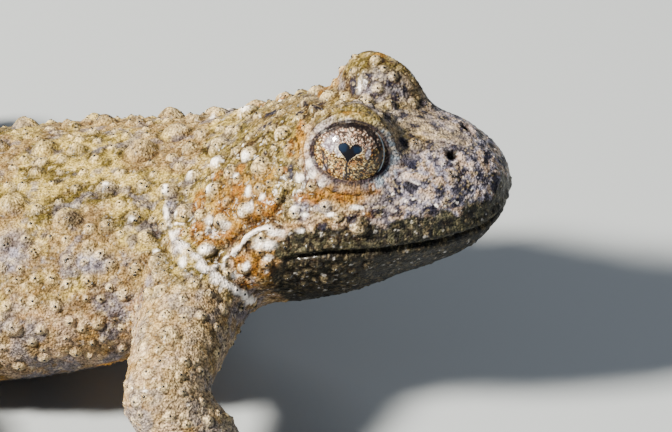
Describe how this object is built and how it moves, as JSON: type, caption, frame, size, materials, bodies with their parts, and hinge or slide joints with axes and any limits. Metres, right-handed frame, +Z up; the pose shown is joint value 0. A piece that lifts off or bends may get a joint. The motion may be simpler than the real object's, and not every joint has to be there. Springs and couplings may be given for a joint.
{
  "type": "fire-bellied toad, still model",
  "caption": "Life-size still model of a small warty toad, sitting with its head raised and turned to one side and its hind legs folded.",
  "frame": {"origin": "middle of the toad's bounding box in plan, on the floor it rests on", "axes": "+X forward along the trunk, +Y to the toad's left, +Z up"},
  "size_m": [0.0514, 0.0548, 0.02],
  "materials": {
    "warty_skin": "wet warty skin, olive tan with cream warts and small black spine tips",
    "jaw_skin": "wet skin, dark olive with pale flecks, blotched yellow below",
    "limb_skin": "wet granular skin, tan ochre above and blotched yellow below",
    "eye": "clear gloss over a gold iris flecked with black"
  },
  "bodies": {
    "root": {"head": "warty_skin", "lower_jaw": "jaw_skin", "eye_left": "eye", "eye_right": "eye", "torso": "warty_skin", "upper_arm_left": "limb_skin", "forearm_left": "limb_skin", "hand_left": "limb_skin", "thigh_left": "limb_skin", "shank_left": "limb_skin", "tarsus_left": "limb_skin", "foot_left": "limb_skin", "upper_arm_right": "limb_skin", "forearm_right": "limb_skin", "hand_right": "limb_skin", "thigh_right": "limb_skin", "shank_right": "limb_skin", "tarsus_right": "limb_skin", "foot_right": "limb_skin"}
  },
  "joints": []
}
